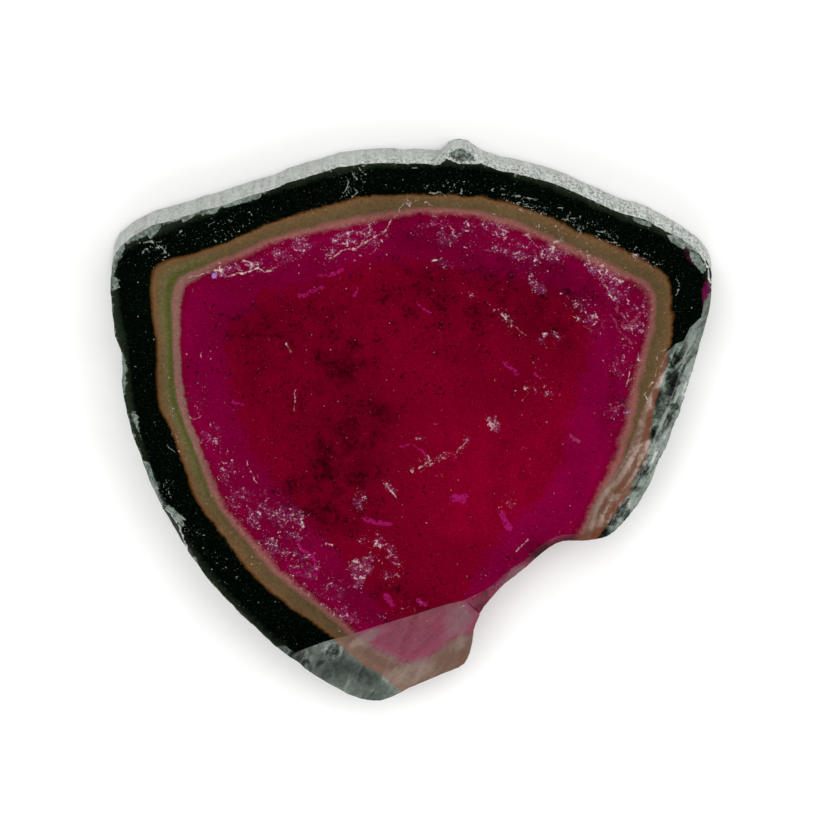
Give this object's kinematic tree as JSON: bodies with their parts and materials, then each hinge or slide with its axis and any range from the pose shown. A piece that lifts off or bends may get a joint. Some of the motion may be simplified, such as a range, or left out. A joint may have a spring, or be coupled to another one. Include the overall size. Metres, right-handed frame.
{
  "type": "bicolor tourmaline slab",
  "caption": "Slice sawn across a zoned tourmaline crystal: crimson core, brown band, black-green rim; polished flat faces, striated grown edge and broken side.",
  "frame": {"origin": "middle of the slab's box, on the flat back face that it lies on", "axes": "+Z out of the polished front face; +Y towards the long curved prism face with the small side crystal; +X towards the broken side"},
  "size_m": [0.0374, 0.0364, 0.0035],
  "materials": {
    "tourmaline": "polished faces, finely striated grown edge, rough broken edges"
  },
  "bodies": {
    "root": {"tourmaline_slab": "tourmaline"}
  },
  "joints": []
}
